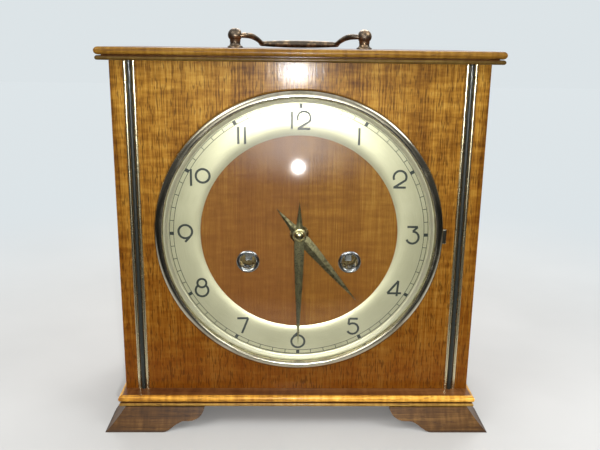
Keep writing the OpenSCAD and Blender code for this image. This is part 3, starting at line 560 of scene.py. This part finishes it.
# strokes of the upright numerals, in millimetres from each numeral's middle
ONE = [[(0, -5.3), (0, 0), (0, 5.3)]]
TWO = [[*arc(0, 1.35, 4.0, 205, -28), (-3.5, -5.2)], [(-3.9, -5.2), (0, -5.2), (3.9, -5.2)]]
FIGURES = {
    1: [(0, 0, ONE)],
    2: [(0, 0, TWO)],
    3: [(0, 0, [[(-3.4, 5.4), (0, 5.4), (3.3, 5.4)], [(3.2, 5.3), (0.2, 2.35)],
                arc(0.2, -1.6, 3.95, 92, -160)])],
    4: [(0, 0, [[(2.4, 5.3), (-4.6, -3.2)], [(-4.7, -3.3), (0, -3.3), (4.4, -3.3)],
                [(2.3, 5.3), (1.5, -5.3)]])],
    5: [(0, 0, [[(-2.3, 5.2), (3.2, 5.2)], [(-2.4, 5.3), (-2.9, 1.2)],
                [(-2.9, 1.2), *arc(-0.1, -1.7, 3.75, 122, -152)]])],
    6: [(0, 0, [[(0.6, 5.6), (-2.8, 2.2)], arc(0, -1.3, 4.3, 0, 360, 48)])],
    7: [(0, 0, [[(-3.8, 5.2), (3.4, 5.2)], [(3.3, 5.2), (-0.8, -5.3)]])],
    8: [(0, 0, [arc(0, 3.0, 2.85, 0, 360, 40), arc(0, -1.95, 4.1, 118, 422, 44)])],
    9: [(0, 0, [arc(0, 1.3, 4.3, 0, 360, 48), [(2.8, -2.2), (-0.2, -5.5)]])],
    10: [(-5.2, 0, ONE), (2.1, 0, [arc(0, 1.1, 4.25, 0, 360, 48)])],
    11: [(-2.05, 0, ONE), (2.05, 0, ONE)],
    12: [(-5.4, 0, ONE), (2.0, 0, TWO)],
}
FIGURE_R = 72.2 * MM


def numerals():
    """The twelve printed numerals, all upright."""
    bm = bmesh.new()
    for hour, parts in FIGURES.items():
        a = math.radians(30 * hour)
        for shift_u, shift_v, strokes in parts:
            u0 = FIGURE_R * math.sin(a) + shift_u * MM
            v0 = FIGURE_R * math.cos(a) + shift_v * MM
            for points in strokes:
                closed = math.dist(points[0], points[-1]) < 1e-6
                placed = [(u0 + u * MM, v0 + v * MM) for u, v in refine(points)]
                add_stroke(bm, placed[:-1] if closed else placed, 1.4 * MM, closed)
    make("numerals", "case", DIAL_INK, bm, 30)


def minute_track():
    """Two printed circles with a line for each minute and a block for each fifth."""
    outer, inner = 82.2 * MM, 79.6 * MM
    bm = bmesh.new()
    for r in (outer, inner):
        add_stroke(bm, [(r * math.sin(math.radians(k)), r * math.cos(math.radians(k)))
                        for k in range(0, 360, 2)], 0.34 * MM, True)
    for minute in range(60):
        a = math.radians(6 * minute)
        width = 2.1 if minute % 5 == 0 else 0.42
        add_stroke(bm, [(r * math.sin(a), r * math.cos(a)) for r in (inner, outer)], width * MM)
    make("minute_track", "case", DIAL_INK, bm, 30)


def eyelets():
    """The nickel eyelets that line the two winding holes."""
    reach = (eyelet_hi.z - eyelet_lo.z) / 2
    depth = eyelet_hi.y - FACE
    bore = 5.25 * MM
    neck = 6.2 * MM
    for side, x in (("left", eyelet_lo.x + reach), ("right", eyelet_hi.x - reach)):
        crown = [(reach - (reach - bore) * k / 12,
                  0.1 * MM + 0.85 * MM * math.sin(math.pi * (k + 1.2) / 14.4)) for k in range(13)]
        bm = bmesh.new()
        add_lathe(bm, [(reach, 0.02 * MM), *crown, (bore, -depth), (neck, -depth), (neck, 0.02 * MM)],
                  Vector((x, FACE, (eyelet_lo.z + eyelet_hi.z) / 2)), segments=72)
        made = make(f"eyelet_{side}", "case", NICKEL, bm, 40)
        if side == "left":
            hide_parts("winding_eyelets")


chapter_ring()
numerals()
minute_track()
eyelets()


# ---------------------------------------------------------------- bezel

def bezel_rim():
    """The rolled rim: rounded outside, a lip at the glass, and cut back behind for the hidden hinge."""
    crest_r = RIM_OUT - 4.1 * MM
    lip_r = RIM_OUT - 5.6 * MM
    outer = []
    for k in range(17):
        a = math.radians(90 * k / 16)
        outer.append((crest_r + (RIM_OUT - crest_r) * math.sin(a),
                      5.2 * MM + (RIM_CREST - 5.2 * MM) * math.cos(a)))
    inner = [(crest_r - (crest_r - lip_r) * math.sin(a), 5.5 * MM + (RIM_CREST - 5.5 * MM) * math.cos(a))
             for a in (math.radians(15 * k) for k in range(6, 0, -1))]
    bm = bmesh.new()
    add_lathe(bm, [(lip_r + 1.4 * MM, 3.2 * MM), (lip_r + 1.4 * MM, 5.0 * MM), *inner, *outer,
                   (RIM_OUT, 0.5 * MM), (RIM_OUT - 1.0 * MM, 0.5 * MM), (RIM_OUT - 1.4 * MM, 3.2 * MM)],
              DIAL, segments=288)
    hinge_half = 9.4 * MM
    clear_y = FACE - 3.6 * MM
    for v in bm.verts:
        near = abs(v.co.z - DIAL.z) < hinge_half and v.co.x < 0
        if near and v.co.y > clear_y:
            v.co.y = clear_y
    make("bezel_rim_rolled", "bezel", BEZEL_BRASS, bm, 50, ["bezel_rim"])


def thumb_tab():
    """The small block at the right by which the bezel is opened."""
    lo = Vector((RIM_OUT - 0.8 * MM, FACE - 5.0 * MM, DIAL.z - 4.8 * MM))
    hi = Vector((rim_hi.x, FACE - 2.4 * MM, DIAL.z + 4.8 * MM))
    bm = bmesh.new()
    bmesh.ops.create_cube(bm, size=1)
    for v in bm.verts:
        v.co = Vector(((v.co.x + 0.5) * (hi.x - lo.x) + lo.x, (v.co.y + 0.5) * (hi.y - lo.y) + lo.y,
                       (v.co.z + 0.5) * (hi.z - lo.z) + lo.z))
    bmesh.ops.bevel(bm, geom=bm.edges[:], offset=0.7 * MM, segments=4, affect="EDGES", profile=0.6)
    make("bezel_thumb_tab", "bezel", BEZEL_BRASS, bm, 50)


def bezel_knuckle():
    """The bezel's own knuckle of the hidden hinge, behind the rim on the left."""
    axis = Vector((-(RIM_OUT - 1.5 * MM), FACE - 1.9 * MM, DIAL.z))
    bm = bmesh.new()
    add_lathe(bm, [(0.65 * MM, -2.7 * MM), (1.1 * MM, -2.7 * MM), (1.3 * MM, -2.5 * MM),
                   (1.3 * MM, 2.5 * MM), (1.1 * MM, 2.7 * MM), (0.65 * MM, 2.7 * MM)],
              axis, "upright", 40)
    bmesh.ops.create_cube(bm, size=1, matrix=Matrix.Translation(axis + Vector((0, -1.3 * MM, 0)))
                          @ Matrix.Diagonal((1.6 * MM, 1.4 * MM, 5.2 * MM, 1)))
    make("bezel_knuckle", "bezel", BEZEL_BRASS, bm, 40)


def sight_ring():
    """The bright cone behind the glass, with a thin turned lip at its inner edge."""
    inner = SIGHT_OUT - 3.4 * MM
    bm = bmesh.new()
    add_lathe(bm, [(SIGHT_OUT, 3.1 * MM), (SIGHT_OUT, 2.4 * MM), (inner + 0.7 * MM, 1.5 * MM),
                   (inner + 0.1 * MM, 1.5 * MM), (inner, 1.7 * MM), (inner + 0.15 * MM, 2.0 * MM),
                   (inner + 0.45 * MM, 2.1 * MM), (inner + 0.8 * MM, 1.95 * MM),
                   (SIGHT_OUT - 1.0 * MM, 3.05 * MM)],
              DIAL, segments=256)
    make("sight_ring_turned", "bezel", SIGHT_BRASS, bm, 30, ["bezel_sight_ring"])


def glass_dome():
    """The domed glass, between two spheres of one centre, out to its edge in the rim."""
    reach = glass_hi.x
    edge = 4.6 * MM
    rise = FACE - glass_lo.y - edge
    thick = 1.4 * MM
    ball = (reach ** 2 + rise ** 2) / (2 * rise)
    widest = math.asin(reach / ball)
    low = edge - ball * math.cos(widest)
    steps = [widest * k / 36 for k in range(37)]
    outer = [(ball * math.sin(a), low + ball * math.cos(a)) for a in steps]
    inner = [((ball - thick) * math.sin(a), low + (ball - thick) * math.cos(a)) for a in reversed(steps)]
    bm = bmesh.new()
    add_lathe(bm, outer + inner, DIAL, segments=200)
    make("bezel_glass_domed", "bezel", GLASS, bm, 40, ["bezel_glass"])


bezel_rim()
glass_dome()
thumb_tab()
bezel_knuckle()
sight_ring()


# ---------------------------------------------------------------- hands

def hand(name, body, finish, angle, length, width, tail, boss, bore, front, stands_for):
    """A pointed hand with a ridge along its middle, its two faces falling to thin edges.

    Sizes are in millimetres; front is how far the hand lies in front of the panel.
    """
    sections = [(-tail, 0.08, 0.0), (-tail * 0.55, width * 0.20, 0.14), (-4.0, width * 0.36, 0.22),
                (0.0, width * 0.42, 0.25), (6.0, width / 2, 0.30), (length * 0.24, width * 0.47, 0.30),
                (length * 0.5, width * 0.34, 0.24), (length * 0.8, width * 0.15, 0.14),
                (length, 0.08, 0.0)]
    bm = bmesh.new()
    rows = []
    for v, half, ridge in sections:
        rows.append([bm.verts.new((u * MM, -h * MM, v * MM)) for u, h in (
            (-half, -0.6), (-half, -0.25), (-half * 0.12, ridge - 0.03), (0, ridge),
            (half * 0.12, ridge - 0.03), (half, -0.25), (half, -0.6))])
    bridge(bm, rows)
    centre = Vector((DIAL.x, FACE - front * MM, DIAL.z))
    turn = Matrix.Translation(centre) @ Matrix.Rotation(math.radians(angle), 4, "Y")
    bmesh.ops.transform(bm, matrix=turn, verts=bm.verts)
    add_lathe(bm, [(bore * MM, -0.7 * MM), (bore * MM, 0.34 * MM), ((boss - 0.7) * MM, 0.36 * MM),
                   ((boss - 0.2) * MM, 0.22 * MM), (boss * MM, 0.0), (boss * MM, -0.65 * MM)],
              centre, segments=72)
    make(name, body, finish, bm, 12, stands_for)


hand("hour_hand_ridged", "hour_work", HOUR_BRASS, angle=139.5, length=57, width=7.6, tail=22, boss=4.6,
     bore=3.45, front=3.4, stands_for=["hour_hand"])
hand("minute_hand_ridged", "minute_work", HAND_BRASS, angle=180.0, length=74, width=6.4, tail=21, boss=4.5,
     bore=2.55, front=5.0, stands_for=["minute_hand"])


def hour_collar():
    """The hour hand's collar, which fits on its tube."""
    bm = bmesh.new()
    add_lathe(bm, [(3.42 * MM, 1.3 * MM), (3.42 * MM, 2.75 * MM), (4.2 * MM, 2.75 * MM),
                   (4.2 * MM, 1.5 * MM), (4.0 * MM, 1.3 * MM)], DIAL, segments=64)
    make("hour_hand_collar", "hour_work", HAND_BRASS, bm, 30)


def hand_nut():
    """The domed brass nut that holds the minute hand."""
    reach = (nut_hi.x - nut_lo.x) / 2
    base = nut_hi.y
    height = nut_hi.y - nut_lo.y
    dome = [((reach - 0.25 * MM) * math.cos(math.radians(a)),
             1.25 * MM + (height - 1.25 * MM) * math.sin(math.radians(a))) for a in range(0, 91, 6)]
    bm = bmesh.new()
    add_lathe(bm, [(0, 1.1 * MM), (1.5 * MM, 1.1 * MM), (1.5 * MM, 0), (reach - 0.15 * MM, 0),
                   (reach, 0.15 * MM), (reach, 1.05 * MM), (reach - 0.1 * MM, 1.2 * MM), *dome],
              Vector((DIAL.x, base, DIAL.z)), segments=72)
    make("hand_nut_domed", "minute_work", NUT_BRASS, bm, 40, ["hand_nut"])


hour_collar()
hand_nut()


# ---------------------------------------------------------------- handle

POST_Y = (post_lo.y + post_hi.y) / 2
POST_X = post_hi.x - 6 * MM
PIVOT = Vector((0, POST_Y, top_hi.z + 8 * MM))
DROP = math.radians(13.5)
REACH = 22 * MM


def handle_post(side):
    """A post with a turned foot and a mushroom knob, flat where the handle enters."""
    top = post_hi.z - top_hi.z
    knob = 4.85 * MM
    knob_above, knob_below = 4.6 * MM, 4.2 * MM
    flat = 4.0 * MM
    outline = [(0, 0), (5.2 * MM, 0), (5.2 * MM, 0.5 * MM), (4.9 * MM, 0.95 * MM), (4.1 * MM, 1.4 * MM),
               (3.55 * MM, 2.1 * MM), (3.35 * MM, 3.0 * MM), (3.5 * MM, 3.8 * MM)]
    for a in range(-42, 91, 6):
        r = math.radians(a)
        half = knob_above if a > 0 else knob_below
        outline.append((knob * math.cos(r), top - knob_above + half * math.sin(r)))
    bm = bmesh.new()
    centre = Vector((side * POST_X, POST_Y, top_hi.z))
    add_lathe(bm, outline, centre, "upright", 56)
    for v in bm.verts:
        inward = (centre.x - v.co.x) * side
        if inward > flat and v.co.z > top_hi.z + 3 * MM:
            v.co.x = centre.x - side * flat
    return bm


def handle_studs():
    """What of the posts lies in the board and under it: the stud, a washer and a nut."""
    bm = bmesh.new()
    for side in (-1, 1):
        centre = Vector((side * POST_X, POST_Y, top_lo.z))
        add_lathe(bm, [(0, -6.9 * MM), (1.7 * MM, -6.9 * MM), (1.9 * MM, -6.6 * MM), (1.9 * MM, 7.9 * MM),
                       (0, 7.9 * MM)], centre, "upright", 32)
        add_lathe(bm, [(1.9 * MM, -1.8 * MM), (5.9 * MM, -1.8 * MM), (6 * MM, -1.6 * MM),
                       (6 * MM, -0.15 * MM), (5.9 * MM, -0.05 * MM), (1.9 * MM, -0.05 * MM)],
                  centre, "upright", 48)
        add_lathe(bm, [(1.9 * MM, -5 * MM), (3.9 * MM, -5 * MM), (4.4 * MM, -4.5 * MM),
                       (4.4 * MM, -2.3 * MM), (3.9 * MM, -1.85 * MM), (1.9 * MM, -1.85 * MM)],
                  centre, "upright", 6)
    make("handle_studs", "case", STEEL, bm, 30)


def in_bail(x, out, lift=0.0):
    """A point of the handle: right, away from its pivots, and up from its own plane."""
    return PIVOT + Matrix.Rotation(-DROP, 3, "X") @ Vector((x, out, lift))


def bail():
    """The handle: two bent arms from the pivots, and a grip that swells in the middle."""
    bm = bmesh.new()
    for side in (-1, 1):
        way = smooth_path([Vector((side * x, t, u)) * MM for x, t, u in (
            (41.0, 0.0, 0.0), (38.6, 0.0, 0.0), (35.8, 1.2, 0.35), (33.4, 4.4, 0.9), (31.2, 9.0, 1.2),
            (28.8, 14.2, 0.9), (27.0, 18.4, 0.35), (26.0, 22.0, 0.0))], 5)
        count = len(way) - 1
        radii = [(1.55 + 0.35 * math.sin(math.pi * min(1, k / count * 1.15)) ** 2) * MM
                 for k in range(count + 1)]
        add_tube(bm, [in_bail(*p) for p in way], radii, 20, Vector((0, 0.3, 1)))
    steps = 48
    reach = 28.4
    round_end = 2.4
    grip = []
    radii = []
    for k in range(steps + 1):
        x = -reach + 2 * reach * k / steps
        edge = (reach - abs(x)) / round_end
        swell = 1.75 + 0.75 * math.cos(math.pi / 2 * min(1, abs(x) / 25)) ** 0.8
        radii.append(max(0.12, swell * math.sqrt(max(0, 1 - (1 - min(1, edge)) ** 2))) * MM)
        grip.append(in_bail(x * MM, REACH))
    add_tube(bm, grip, radii, 28)
    make("handle_bail_swelled", "bail", BRONZE, bm, 50, ["handle_bail"])


for word, side in (("left", -1), ("right", 1)):
    made = make(f"handle_post_{word}", "case", BRONZE, handle_post(side), 50)
    if side < 0:
        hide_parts("handle_posts")
handle_studs()
bail()


# ---------------------------------------------------------------- the back's small screws

def add_screw(bm, centre, r, turn):
    """A domed, slotted screw head that faces back."""
    steps = 20
    rings = []
    for part, height in ((1.0, 0.0), (0.97, 0.30), (0.80, 0.55), (0.45, 0.72)):
        rings.append([bm.verts.new(centre + Vector((r * part * math.cos(2 * math.pi * k / steps + turn),
                                                    r * height,
                                                    r * part * math.sin(2 * math.pi * k / steps + turn))))
                      for k in range(steps)])
    bridge(bm, rings, ends=False)
    top = rings[-1]
    low = [bm.verts.new(v.co + Vector((0, -r * 0.42, 0))) for v in (top[2], top[8], top[12], top[18])]
    bm.faces.new([top[k] for k in range(2, 9)])
    bm.faces.new([top[k % steps] for k in range(12, 19)])
    bm.faces.new([top[18], top[19], top[0], top[1], top[2], low[0], low[3]])
    bm.faces.new([top[8], top[9], top[10], top[11], top[12], low[2], low[1]])
    bm.faces.new([top[2], top[8], low[1], low[0]])
    bm.faces.new([top[12], top[18], low[3], low[2]])
    bm.faces.new(low)


def hinge_screws(name, node, body, share):
    """The screws of the door's hinge leaves, at a share of the leaf's width, each turned its own way."""
    lo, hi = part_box(node)
    x = lo.x + (hi.x - lo.x) * share
    bm = bmesh.new()
    turn = 0.4
    zs = (lo.z + 4 * MM, hi.z - 4 * MM) if body == "door" else (lo.z + 4 * MM, lo.z + 20 * MM,
                                                               hi.z - 20 * MM, hi.z - 4 * MM)
    for z in zs:
        add_screw(bm, Vector((x, BACK_FACE + 1.05 * MM, z)), 1.5 * MM, turn)
        turn += 0.9
    make(name, body, STEEL, bm, 30)


hinge_screws("hinge_screws_case", "door_fixed_leaves", "case", 0.42)
hinge_screws("hinge_screws_door", "door_moving_leaves", "door", 0.62)


# ---------------------------------------------------------------- floor, light and camera

def floor_paper():
    """A pale paper floor.

    Far from the clock it glows for the camera alone, like the backdrop. In front it is dark for
    every other ray, so that the panel and the glass mirror a dim room.
    """
    bm = bmesh.new()
    bmesh.ops.create_grid(bm, x_segments=1, y_segments=1, size=4)
    mesh = bpy.data.meshes.new("floor")
    bm.to_mesh(mesh)
    bm.free()
    floor = bpy.data.objects.new("floor", mesh)
    bpy.context.scene.collection.objects.link(floor)
    floor.location.z = cad_box[0].z - 0.02 * MM
    f = Finish("floor_paper", Roughness=0.8, Specular_IOR_Level=0.1)
    x, y, z = f.split(f.place)
    r = f.sum("SQRT", f.sum("ADD", f.sum("MULTIPLY", x, x), f.sum("MULTIPLY", y, y)))
    far = f.add("ShaderNodeMapRange", {0: r, 1: 0.15, 2: 0.7}, interpolation_type="SMOOTHSTEP").outputs[0]
    paper = f.ramp(f.noise(f.place, 6, 6, 6, detail=4), (0.35, (0.54, 0.54, 0.53)),
                   (0.65, (0.58, 0.58, 0.57)))
    seen = f.add("ShaderNodeLightPath").outputs["Is Camera Ray"]
    shade = f.sum("MULTIPLY", f.level(y, -0.09, -0.2), f.sum("SUBTRACT", 1.0, seen))
    f.feed("Base Color", f.mix(f.sum("MAXIMUM", far, shade), paper, (0, 0, 0)))
    f.feed("Emission Color", (0.70, 0.755, 0.78))
    f.feed("Emission Strength", f.sum("MULTIPLY", far, seen))
    mesh.materials.append(f.material)


def studio_world():
    """A dim room, brighter above and behind, with a glow low in front; the camera sees pale blue."""
    world = bpy.data.worlds.new("studio")
    bpy.context.scene.world = world
    world.use_nodes = True
    n = Nodes(world.node_tree)
    place = n.add("ShaderNodeTexCoord").outputs["Generated"]
    apart = n.split(place)
    behind, above = (
        n.add("ShaderNodeMapRange", {0: apart[axis], 1: low, 2: high, 3: 0.035, 4: most}).outputs[0]
        for axis, low, high, most in ((1, 0.40, 0.85, 0.60), (2, 0.30, 0.85, 0.75)))
    toward = n.add("ShaderNodeVectorMath", {0: place, 1: Vector((0.0, -1.0, 0.10)).normalized()},
                   operation="DOT_PRODUCT").outputs["Value"]
    spot = n.sum("POWER", n.sum("MAXIMUM", toward, 0.0), 26.0)
    rising = n.add("ShaderNodeMapRange", {0: apart[2], 1: -0.02, 2: 0.26}, interpolation_type="SMOOTHSTEP")
    glow = n.sum("MULTIPLY", spot, rising.outputs[0])
    room = n.tree.nodes["Background"]
    n.tree.links.new(n.sum("MULTIPLY_ADD", glow, 5.0, n.sum("ADD", behind, above)), room.inputs[0])
    seen = n.add("ShaderNodeBackground", {0: (0.72, 0.775, 0.80, 1), 1: 1.0})
    mix = n.add("ShaderNodeMixShader", {0: n.add("ShaderNodeLightPath").outputs["Is Camera Ray"],
                                        1: room.outputs[0], 2: seen.outputs[0]})
    n.tree.links.new(mix.outputs[0], n.tree.nodes["World Output"].inputs[0])


def lamp(name, place, target, size, power, colour=(1, 1, 1), tall=None):
    """A soft lamp that points at a target: a disc, or a rectangle if its height is given."""
    data = bpy.data.lights.new(name, "AREA")
    data.energy = power
    data.color = colour
    data.shape = "RECTANGLE" if tall else "DISK"
    data.size = size
    if tall:
        data.size_y = tall
    o = bpy.data.objects.new(name, data)
    bpy.context.scene.collection.objects.link(o)
    o.location = place
    o.rotation_euler = (Vector(target) - Vector(place)).to_track_quat("-Z", "Y").to_euler()


def photograph():
    """The camera, in front of the clock at the height of its handle, looking down at the dial."""
    data = bpy.data.cameras.new("camera")
    data.sensor_width = 36
    data.lens = 41.48
    data.clip_start = 0.01
    camera = bpy.data.objects.new("camera", data)
    bpy.context.scene.collection.objects.link(camera)
    turn = Matrix.Rotation(math.radians(-1.377), 4, "Z")
    turn @= Matrix.Rotation(math.radians(90 - 14.569), 4, "X")
    turn @= Matrix.Rotation(math.radians(0.770), 4, "Z")
    camera.matrix_world = Matrix.Translation((-9.8 * MM, -474.4 * MM, 246.3 * MM)) @ turn
    bpy.context.scene.camera = camera


floor_paper()
studio_world()
lamp("near_camera", (0.004, -0.49, 0.214), (0.0, 0.0, 0.14), 0.015, 1.6)
lamp("over_left", (-0.75, -0.65, 1.05), (0, 0, 0.12), 0.7, 4.5, (1.0, 0.98, 0.95), 0.5)
lamp("over_right", (0.85, -0.35, 0.95), (0, 0, 0.12), 0.6, 4, (0.97, 0.99, 1.0), 0.5)
lamp("from_behind", (0.1, 0.9, 1.1), (0, 0.1, 0.1), 0.9, 11, (1, 1, 1), 0.5)
photograph()
bpy.context.scene.view_settings.view_transform = "Standard"
